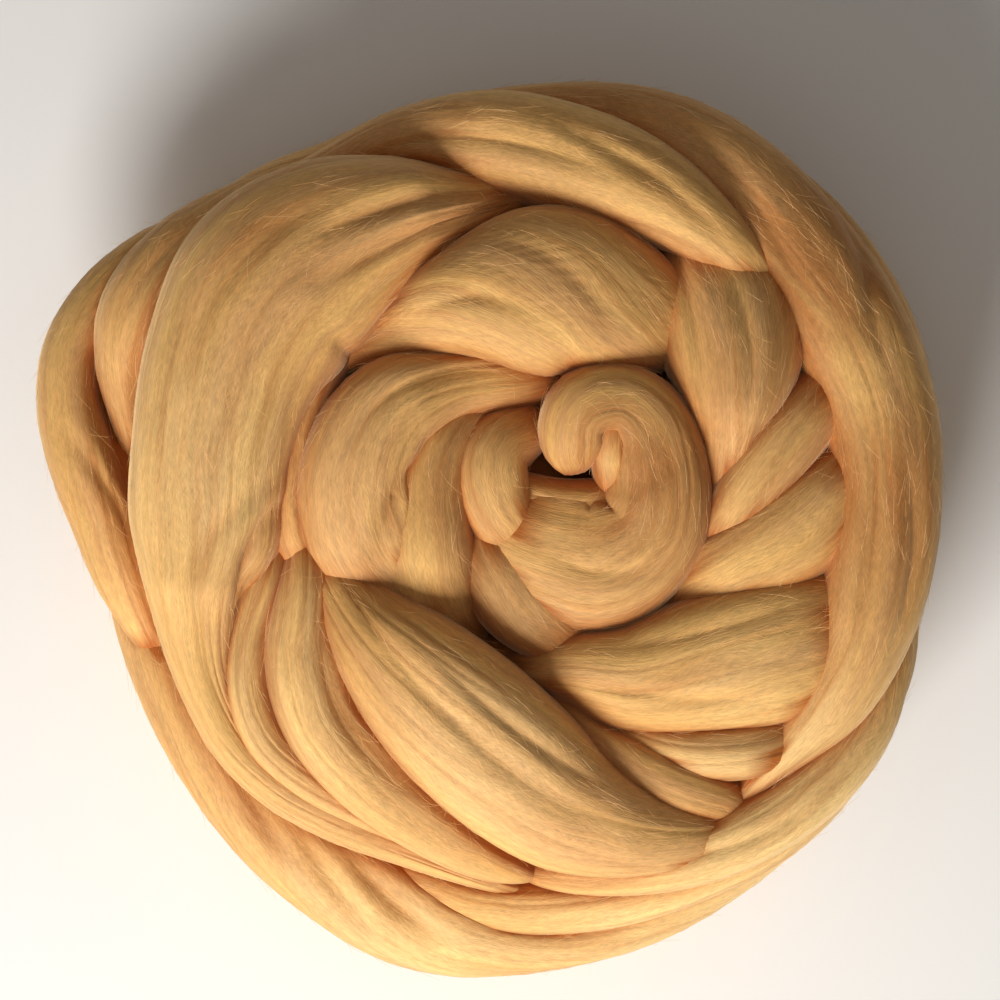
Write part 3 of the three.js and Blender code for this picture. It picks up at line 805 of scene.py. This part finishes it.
def openness(piece):
    """From 0, closed in, to 1, open to all sides, for every point of a skin."""
    rings, columns = thinned(piece.points.shape[0]), thinned(piece.points.shape[1])
    coarse = np.zeros((len(rings), len(columns)))
    points, normals = piece.points[np.ix_(rings, columns)], piece.normals[np.ix_(rings, columns)]
    for i, j in np.ndindex(coarse.shape):
        normal = normals[i, j]
        start = Vector(points[i, j] * MM + normal * FEELER_START)
        weights = directions @ normal
        free = total = 0.0
        for k in np.flatnonzero(weights > FEELER_LEAST_WEIGHT):
            distance = wool_tree.ray_cast(start, Vector(directions[k]), FEELER_REACH)[3]
            free += weights[k] * (1 if distance is None else distance / FEELER_REACH)
            total += weights[k]
        coarse[i, j] = free / max(total, NUDGE)
    wide = np.stack([np.interp(np.arange(piece.points.shape[1]), columns, row) for row in coarse])
    return np.stack([np.interp(np.arange(piece.points.shape[0]), rings, column) for column in wide.T]).T


open_to_light = {name: openness(piece) for name, piece in wool.items()}
print("the knob is open by", round(float(open_to_light["inner_knob_and_ring"].mean()), 2))

# %% [markdown]
# ## Shader maths
#
# A finish is a small calculation: streaks of noise, mixed into colours. Written with nodes alone it
# is hard to read, so a `Value` stands for one output of a node, and sums and products with it add
# the Math nodes. A `Finish` is one material, and its `node` method makes any other node: first the
# settings, then what goes into its sockets. The node that mixes colours has sockets of one name for
# each kind of value, so those for colours go by their numbers.

# %% Shader maths
class Value:
    """An output socket that can be added, subtracted, multiplied and divided."""

    def __init__(self, finish, socket):
        self.finish = finish
        self.socket = socket

    def maths(self, operation, one, other):
        return self.finish.node("ShaderNodeMath", {"operation": operation}, {0: one, 1: other})

    def __add__(self, other):
        return self.maths("ADD", self, other)

    def __sub__(self, other):
        return self.maths("SUBTRACT", self, other)

    def __rsub__(self, other):
        return self.maths("SUBTRACT", other, self)

    def __mul__(self, other):
        return self.maths("MULTIPLY", self, other)

    def __truediv__(self, other):
        return self.maths("DIVIDE", self, other)

    def __rtruediv__(self, other):
        return self.maths("DIVIDE", other, self)

    __radd__ = __add__
    __rmul__ = __mul__


class Finish:
    """A material with a Principled shader, and a short way to add nodes to it."""

    def __init__(self, name):
        self.material = bpy.data.materials.new(name)
        self.material.use_nodes = True
        self.nodes = self.material.node_tree.nodes
        self.links = self.material.node_tree.links
        self.surface = self.nodes["Principled BSDF"]

    def plug(self, socket, value):
        """Links a value to a socket, or sets the socket where the value is a plain number or colour."""
        if isinstance(value, Value):
            self.links.new(value.socket, socket)
        else:
            socket.default_value = value

    def node(self, kind, settings=None, inputs=None, output=0):
        """Adds a node with its settings, fills its sockets, and gives one of its outputs."""
        node = self.nodes.new(kind)
        for name, value in (settings or {}).items():
            setattr(node, name, value)
        for name, value in (inputs or {}).items():
            self.plug(node.inputs[name], value)
        return Value(self, node.outputs[output])

    def set_surface(self, **values):
        """Fills sockets of the Principled shader, named with underscores for spaces."""
        for name, value in values.items():
            self.plug(self.surface.inputs[name.replace("_", " ")], value)


MIX_AMOUNT, MIX_A, MIX_B, MIX_RESULT = 0, 6, 7, 2


def mix_colours(finish, amount, one, other):
    """The first colour where the amount is 0, the other where it is 1."""
    return finish.node("ShaderNodeMix", {"data_type": "RGBA"},
                       {MIX_AMOUNT: amount, MIX_A: one, MIX_B: other}, MIX_RESULT)


def ramp(finish, value, low, high):
    """Stretches a value so that low becomes 0 and high becomes 1, and cuts off what lies outside."""
    return finish.node("ShaderNodeMapRange", {"clamp": True},
                       {"Value": value, "From Min": low, "From Max": high})


print("a mixing node takes its two colours at its inputs", MIX_A, "and", MIX_B)

# %% [markdown]
# ## The finish of the wool
#
# Each fibre was dyed in the fleece, so no two are quite alike: golden, tan and pinkish fibres lie in
# bands along the rope, with browner ones between them. Across the fibres the colour changes within
# half a millimetre, along them hardly in a centimetre. So the noise is read from the UV map with one
# scale across and a much longer one along. It wavers a little, because no combing is perfect, and
# short streaks that lean to both sides stand for the fibres that lie askew. Each kind of streak reads
# the noise some metres further along than the last, so that they don't fall together.
#
# The dye, the dips and the shade are read from the mesh. The dye patches make the wool browner or
# paler, partly as uneven dye and partly as painted shade and painted light. Dipping wool is painted
# browner as shade in its furrows and creases, and closed-in wool is painted red-brown as the shade
# deep between folds. The streaks are also a bump, about a fifth of a millimetre high. Wool is matt,
# and the loose ends that stand off it catch a warm light at its edges: that is the sheen.

# %% The finish of the wool
GOLDEN = (0.82, 0.475, 0.150, 1)
# painted light: the pale golden of the paler patches on the lit near rim, partly paler dye
PALE_GOLDEN_PAINTED_LIGHT = (0.98, 0.67, 0.28, 1)
PINKISH_TAN = (0.72, 0.395, 0.145, 1)
# the brown of the fibres' own streaks, also used as painted shade in the dips and the browner patches
BROWN = (0.45, 0.185, 0.046, 1)
# painted shade: the red-brown of wool closed in deep between folds
PAINTED_SHADE_RED_BROWN = (0.44, 0.125, 0.016, 1)
SHEEN_TINT = (1.0, 0.76, 0.45, 1)
WAVER = 6 * MM
LEFT_LEAN, RIGHT_LEAN = 0.34, 0.42
DARKEST = 0.62
BUMP_HEIGHT = 0.22 * MM


def streaks(finish, around, along, width, length):
    """Noise in streaks, this wide and long in millimetres."""
    place = finish.node("ShaderNodeCombineXYZ", None,
                        {"X": around / (width * MM), "Y": along / (length * MM)})
    return finish.node("ShaderNodeTexNoise", {"noise_dimensions": "2D"},
                       {"Vector": place, "Scale": 1.0, "Detail": 2.0, "Roughness": 0.55})


def stored(finish, name):
    """What the mesh stores under a name at each of its points."""
    return finish.node("ShaderNodeAttribute", {"attribute_name": name}, None, "Fac")


def combed_wool():
    """The finish of the folds."""
    finish = Finish("combed_wool")
    lengths = finish.node("ShaderNodeUVMap", {"uv_map": "fibres"})
    plain_around = finish.node("ShaderNodeSeparateXYZ", None, {"Vector": lengths}, "X")
    along = finish.node("ShaderNodeSeparateXYZ", None, {"Vector": lengths}, "Y")
    waver = streaks(finish, plain_around, along, width=14, length=30) - 0.5
    around = plain_around + waver * WAVER

    band = ramp(finish, streaks(finish, around, along, width=13, length=120), 0.38, 0.62)
    brown_band = ramp(finish, streaks(finish, around, along + 3.0, width=7, length=90), 0.50, 0.74)
    bundle = streaks(finish, around, along + 5.0, width=2.6, length=55)
    fibre = streaks(finish, around, along + 7.0, width=0.45, length=11)
    mottle = streaks(finish, around, along + 9.0, width=1.6, length=2.4)
    leaning_left = streaks(finish, around + along * LEFT_LEAN, along, width=0.42, length=4)
    leaning_right = streaks(finish, around - along * RIGHT_LEAN, along, width=0.42, length=3)
    crossing = (leaning_left + leaning_right) * 0.5
    shade, dips, dye = (stored(finish, name) for name in ("shade", "dips", "dye"))

    colour = mix_colours(finish, band, PINKISH_TAN, GOLDEN)
    # The paler patches: painted light on the lit near rim, partly paler dye.
    colour = mix_colours(finish, ramp(finish, dye, 0.0, -1.0) * 0.75, colour, PALE_GOLDEN_PAINTED_LIGHT)
    # Brown streaks are the fibres' own colour. The dips add painted shade in furrows and creases, and the
    # browner patches add painted shade on the sides away from the lamp, partly with browner dye.
    streaked = brown_band * 0.35 + ramp(finish, bundle, 0.50, 0.75) * 0.25
    browned_with_painted_shade = streaked + dips * 0.45 + ramp(finish, dye, 0.0, 1.0) * (0.45 + fibre * 0.6)
    colour = mix_colours(finish, browned_with_painted_shade, colour, BROWN)
    # Painted shade: where the feelers found the wool closed in between folds, the colour turns red-brown.
    painted_crease_shade = ramp(finish, shade, 0.98, 0.38)
    colour = mix_colours(finish, painted_crease_shade, colour, PAINTED_SHADE_RED_BROWN)

    brightness = DARKEST
    for noise, low, high, share in ((fibre, 0.30, 0.70, 0.18), (bundle, 0.30, 0.70, 0.14),
                                    (crossing, 0.36, 0.64, 0.20), (mottle, 0.30, 0.70, 0.12)):
        brightness = brightness + ramp(finish, noise, low, high) * share
    colour = finish.node("ShaderNodeVectorMath", {"operation": "SCALE"},
                         {"Vector": colour, "Scale": brightness})

    relief = fibre * 0.5 + bundle + crossing * 0.6
    bump = finish.node("ShaderNodeBump", None, {"Strength": 0.7, "Distance": BUMP_HEIGHT, "Height": relief})
    finish.set_surface(Base_Color=colour, Roughness=0.62 + fibre * 0.14, Normal=bump,
                       Specular_IOR_Level=0.35, Sheen_Weight=0.60, Sheen_Roughness=0.42,
                       Sheen_Tint=SHEEN_TINT)
    return finish.material


wool_finish = combed_wool()
print("the wool's finish has", len(wool_finish.node_tree.nodes), "nodes")

# %% [markdown]
# ## From skin to mesh
#
# The grid's two long edges meet along the seam and its short edges shrink to a point at each end, so
# merging the doubled corners closes the tube. Each corner keeps two lengths as its UV map: how far
# round the rope it lies, and how far along. They are real lengths in metres, so that a streak of the
# finish is as wide on a thin pleat as on a fat lobe. What the colour reads besides is stored at the
# points. The folds of one turn become one mesh.

# %% From skin to mesh
WELD = 1e-6


def fold_into(bm, piece, shade):
    """Adds a fold to a bmesh as a closed tube, with its UV map and all that the colour reads."""
    mesh = grid_mesh("fold", piece.points)
    corners = np.empty(len(mesh.loops), dtype=np.int32)
    mesh.loops.foreach_get("vertex_index", corners)
    lengths = np.stack([piece.around, piece.along + piece.length_offset], axis=-1).reshape(-1, 2) * MM
    mesh.uv_layers.new(name="fibres").data.foreach_set("uv", lengths[corners].ravel())
    for attribute, values in (("shade", shade), ("dips", piece.dips), ("dye", piece.dye)):
        mesh.attributes.new(attribute, "FLOAT", "POINT").data.foreach_set("value", values.ravel())
    tube = bmesh.new()
    tube.from_mesh(mesh)
    bmesh.ops.remove_doubles(tube, verts=tube.verts, dist=WELD)
    bmesh.ops.recalc_face_normals(tube, faces=tube.faces)
    tube.to_mesh(mesh)
    tube.free()
    bm.from_mesh(mesh)
    bpy.data.meshes.remove(mesh)


def finished_piece(name, bm, material):
    """Makes an object of a bmesh, with smooth faces, riding on the bun's one body."""
    for face in bm.faces:
        face.smooth = True
    mesh = bpy.data.meshes.new(name)
    bm.to_mesh(mesh)
    bm.free()
    mesh.materials.append(material)
    piece = bpy.data.objects.new(name, mesh)
    bpy.context.scene.collection.objects.link(piece)
    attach(piece, "root")
    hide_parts("wound_roving")
    triangles = sum(len(face.vertices) - 2 for face in mesh.polygons)
    print(name, "has", triangles, "triangles")
    return piece


for piece_name, (folds, _) in PIECES.items():
    turn_bm = bmesh.new()
    for fold_name in folds:
        fold_into(turn_bm, wool[fold_name], open_to_light[fold_name])
    finished_piece(piece_name, turn_bm, wool_finish)

# %% [markdown]
# ## One loose fibre
#
# Combed wool is never quite smooth. Thousands of fibres have worked loose: most lie along the rope a
# hair's breadth above it and dip back in, and the others lift one end. They are what makes the bun
# look soft. Each is a thin closed rod with three sides. One rod is made with bmesh, and its faces are
# noted by ring and side, so that arrays can lay a copy of it along every fibre's path.

# %% One loose fibre
FIBRE_POINTS = 5
FIBRE_SIDES = 3


def fibre_rod():
    """The faces of one rod, whose points are numbered ring by ring."""
    bm = bmesh.new()
    bmesh.ops.create_cone(bm, cap_ends=True, segments=FIBRE_SIDES, radius1=1, radius2=1, depth=2)
    lengthwise = [e for e in bm.edges if abs(e.verts[0].co.z - e.verts[1].co.z) > 1]
    bmesh.ops.subdivide_edges(bm, edges=lengthwise, cuts=FIBRE_POINTS - 2, use_grid_fill=True)
    bmesh.ops.recalc_face_normals(bm, faces=bm.faces)
    number = {}
    for vert in bm.verts:
        ring = round((vert.co.z + 1) / 2 * (FIBRE_POINTS - 1))
        side = round(math.atan2(vert.co.y, vert.co.x) / (2 * math.pi) * FIBRE_SIDES) % FIBRE_SIDES
        number[vert] = ring * FIBRE_SIDES + side
    faces = [[number[vert] for vert in face.verts] for face in bm.faces]
    bm.free()
    return faces


rod_faces = fibre_rod()
rod_sides = np.array([face for face in rod_faces if len(face) == 4])
rod_ends = np.array([face for face in rod_faces if len(face) == 3])
print("a fibre has", len(rod_sides), "faces along it and", len(rod_ends), "at its ends")

# %% [markdown]
# ## Where fibres come loose
#
# A fibre starts where the wool lies open to the light. Each point of a skin stands for the patch of
# wool round it, so its chance of a fibre grows with the size of that patch. Closed-in wool and the
# wool just above the floor have no loose fibres.

# %% Where fibres come loose
FIBRE_OPEN_FROM = 0.30
FIBRE_OPEN_RANGE = 0.25
FIBRES_ABOVE = 3


def exposed_area(name):
    """How much wool each point of a skin stands for, counting only what lies open to the light."""
    points = wool[name].points
    area = (np.linalg.norm(np.gradient(points, axis=0), axis=2)
            * np.linalg.norm(np.gradient(points, axis=1), axis=2))
    exposed = np.clip((open_to_light[name] - FIBRE_OPEN_FROM) / FIBRE_OPEN_RANGE, 0, 1)
    return area * exposed * (points[..., 2] > FIBRES_ABOVE)


chances = {name: exposed_area(name) for name in wool}
all_area = sum(chance.sum() for chance in chances.values())
print("fibres come loose on", round(all_area / 100), "square centimetres")

# %% [markdown]
# ## The path of a fibre
#
# A fibre walks along the skin's grid, with the twist of the combed fibres and a small drift of its
# own, and bends a little as it goes. Its height above the skin comes on top: a lying fibre rises and
# dips back in, a lifted one is highest at its end. Lengths are in millimetres, drifts in degrees.

# %% The path of a fibre
FibreKind = namedtuple("FibreKind", "count radius length height drift lift colour")
FIBRE_KINDS = {
    "lying_fibres_pale": FibreKind(6500, 0.045, (6, 15), (0.15, 0.50), 14, 0.0, (0.88, 0.62, 0.32, 1)),
    "lying_fibres_golden": FibreKind(6000, 0.045, (6, 15), (0.10, 0.40), 14, 0.0, (0.80, 0.48, 0.17, 1)),
    "lifted_fibres": FibreKind(7000, 0.040, (5, 12), (0.5, 2.4), 28, 1.0, (0.80, 0.50, 0.21, 1)),
}
ROOT_DEPTH = 0.10
LIFT_CURVE = 1.7
DRIFT_OVER_BEND = 3
LEAST_GAP = 1e-3
LOWEST_FIBRE = 0.3
INSIDE_LAST = 1.001


def read_grid(grid, rows, columns):
    """The values of a grid between its points."""
    rows = np.clip(rows, 0, grid.shape[0] - INSIDE_LAST)
    columns = np.clip(columns, 0, grid.shape[1] - INSIDE_LAST)
    i, j = rows.astype(int), columns.astype(int)
    y, x = rows - i, columns - j
    if grid.ndim == 3:
        y, x = y[:, None], x[:, None]
    return ((grid[i, j] * (1 - x) + grid[i, j + 1] * x) * (1 - y)
            + (grid[i + 1, j] * (1 - x) + grid[i + 1, j + 1] * x) * y)


def lay_fibres(random, name, kind, count):
    """The middle lines of some fibres on one fold, and the direction out of the wool along them."""
    piece = wool[name]
    points, normals, around = piece.points, piece.normals, piece.around
    ring_gap = np.linalg.norm(np.gradient(points, axis=0), axis=2) + LEAST_GAP
    column_gap = np.linalg.norm(np.gradient(points, axis=1), axis=2) + LEAST_GAP
    twist = -np.gradient(around, axis=0) / np.gradient(around, axis=1)
    chance = chances[name].ravel()
    start = random.choice(chance.size, count, p=chance / chance.sum())
    rows = start // points.shape[1] + random.uniform(-0.5, 0.5, count)
    columns = start % points.shape[1] + random.uniform(-0.5, 0.5, count)

    length = random.uniform(*kind.length, count)
    step = length / (FIBRE_POINTS - 1)
    drift = np.radians(random.normal(0, kind.drift, count))
    bend = np.radians(random.normal(0, kind.drift / DRIFT_OVER_BEND, count))
    height = random.uniform(*kind.height, count)
    lines, outs = [], []
    for k, part in enumerate(np.linspace(0, 1, FIBRE_POINTS)):
        arch = math.sin(math.pi * part) * (1 - kind.lift) + kind.lift * part**LIFT_CURVE
        out = unit(read_grid(normals, rows, columns) + NUDGE)
        lines.append(read_grid(points, rows, columns) + out * (height * arch - ROOT_DEPTH)[:, None])
        outs.append(out)
        forward = step * np.cos(drift + bend * k) / read_grid(ring_gap, rows, columns)
        sideways = step * np.sin(drift + bend * k) / read_grid(column_gap, rows, columns)
        columns = columns + forward * read_grid(twist, rows, columns) + sideways
        rows = rows + forward
    lines, outs = np.stack(lines, axis=1), np.stack(outs, axis=1)
    lines[:, 1:-1] = lines[:, 1:-1] * 0.5 + (lines[:, :-2] + lines[:, 2:]) * 0.25
    lines[..., 2] = np.maximum(lines[..., 2], LOWEST_FIBRE)
    return lines, outs


print("loose fibres to lay:", sum(kind.count for kind in FIBRE_KINDS.values()))

# %% [markdown]
# ## Loose fibres
#
# Every path gets its rod, which tapers to both ends, and all the fibres of a kind are one mesh. Each
# fold gets its share of them by its open area. A real fibre lets most light through, so they cast no
# shadow.

# %% Loose fibres
FIBRE_TIP = 0.45
TAPER_FROM, TAPER_TO = 0.08, 0.92
FIBRE_SEED = 7


def rods_along(lines, outs, radius):
    """The corners of a tapering rod round each line."""
    forward = unit(np.gradient(lines, axis=1) + NEVER_ZERO)
    side = unit(np.cross(forward, outs) + NEVER_ZERO)
    up = np.cross(side, forward)
    swell = np.sin(math.pi * np.linspace(TAPER_FROM, TAPER_TO, FIBRE_POINTS))
    taper = radius * (FIBRE_TIP + (1 - FIBRE_TIP) * swell)
    angles = 2 * math.pi * np.arange(FIBRE_SIDES) / FIBRE_SIDES
    ring = np.cos(angles)[:, None] * side[:, :, None] + np.sin(angles)[:, None] * up[:, :, None]
    return (lines[:, :, None] + ring * taper[:, None, None]).reshape(-1, 3)


def fibre_finish(name, colour):
    """One dyed fibre: matt and of one colour, because it is far too thin to show any more."""
    finish = Finish(name)
    finish.set_surface(Base_Color=colour, Roughness=0.7, Specular_IOR_Level=0.2,
                       Sheen_Weight=0.3, Sheen_Tint=SHEEN_TINT)
    return finish.material


random = np.random.RandomState(FIBRE_SEED)
for kind_name, kind in FIBRE_KINDS.items():
    counts = {name: round(kind.count * chance.sum() / all_area) for name, chance in chances.items()}
    laid = [lay_fibres(random, name, kind, count) for name, count in counts.items() if count > 0]
    lines, outs = (np.concatenate(parts) for parts in zip(*laid))
    corners = rods_along(lines, outs, kind.radius) * MM
    first = np.arange(len(lines))[:, None, None] * FIBRE_POINTS * FIBRE_SIDES
    faces = (rod_sides + first).reshape(-1, 4).tolist() + (rod_ends + first).reshape(-1, 3).tolist()
    fibres = bpy.data.meshes.new(kind_name)
    fibres.from_pydata(corners.tolist(), [], faces)
    fibre_bm = bmesh.new()
    fibre_bm.from_mesh(fibres)
    bpy.data.meshes.remove(fibres)
    fibre_piece = finished_piece(kind_name, fibre_bm, fibre_finish(kind_name, kind.colour))
    fibre_piece.visible_shadow = False

# %% [markdown]
# ## The floor's finish
#
# The floor only has to be pale and quiet. A little slow noise keeps it from looking like a void.

# %% The floor's finish
FLOOR_GREY = (0.86, 0.86, 0.85, 1)
FLOOR_WHITE = (0.90, 0.90, 0.89, 1)

floor_finish = Finish("pale_floor")
floor_place = floor_finish.node("ShaderNodeTexCoord", None, None, "Object")
floor_noise = floor_finish.node("ShaderNodeTexNoise", None, {"Vector": floor_place, "Scale": 3.0})
floor_colour = mix_colours(floor_finish, floor_noise, FLOOR_GREY, FLOOR_WHITE)
floor_finish.set_surface(Base_Color=floor_colour, Roughness=0.8)
floor_mesh.materials.append(floor_finish.material)
print("the floor's finish has", len(floor_finish.nodes), "nodes")
